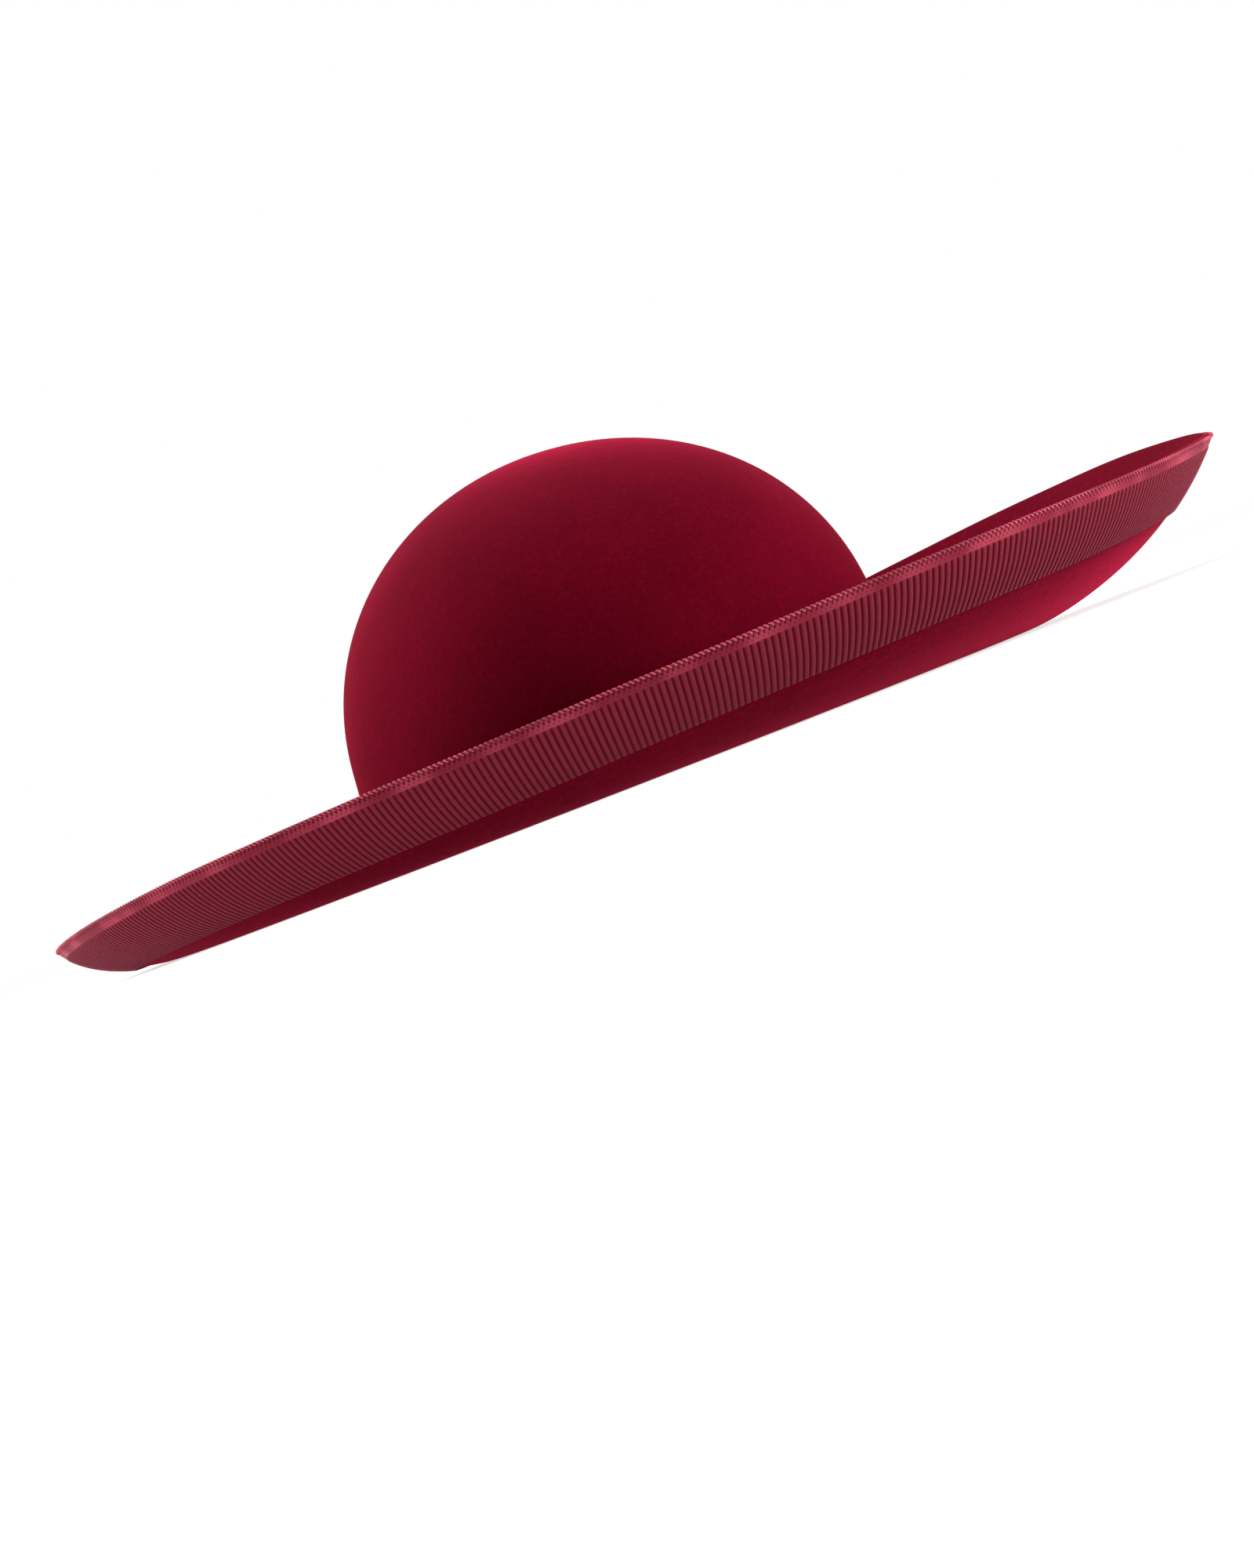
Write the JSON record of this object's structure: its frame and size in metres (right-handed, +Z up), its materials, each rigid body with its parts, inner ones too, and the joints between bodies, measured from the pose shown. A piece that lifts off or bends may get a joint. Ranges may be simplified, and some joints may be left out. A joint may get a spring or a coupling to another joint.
{
  "type": "felt hat",
  "caption": "Wide-brimmed wool felt hat with a round crown, a turned-up brim edged with ribbed ribbon, and an inner headband.",
  "frame": {"origin": "centre of the hat's outline, on the surface that the brim's lowest ring stands on", "axes": "+Z up out of the crown's top; -Y towards the front; +X towards the wearer's left"},
  "size_m": [0.3972, 0.39, 0.1085],
  "materials": {
    "felt": "dense matte wool felt with a short nap",
    "ribbon": "ribbed ribbon with a low silky sheen",
    "headband_felt": "smooth thin felt strip"
  },
  "bodies": {
    "root": {"crown": "felt", "brim": "felt", "edge_ribbon": "ribbon", "headband": "headband_felt"}
  },
  "joints": []
}
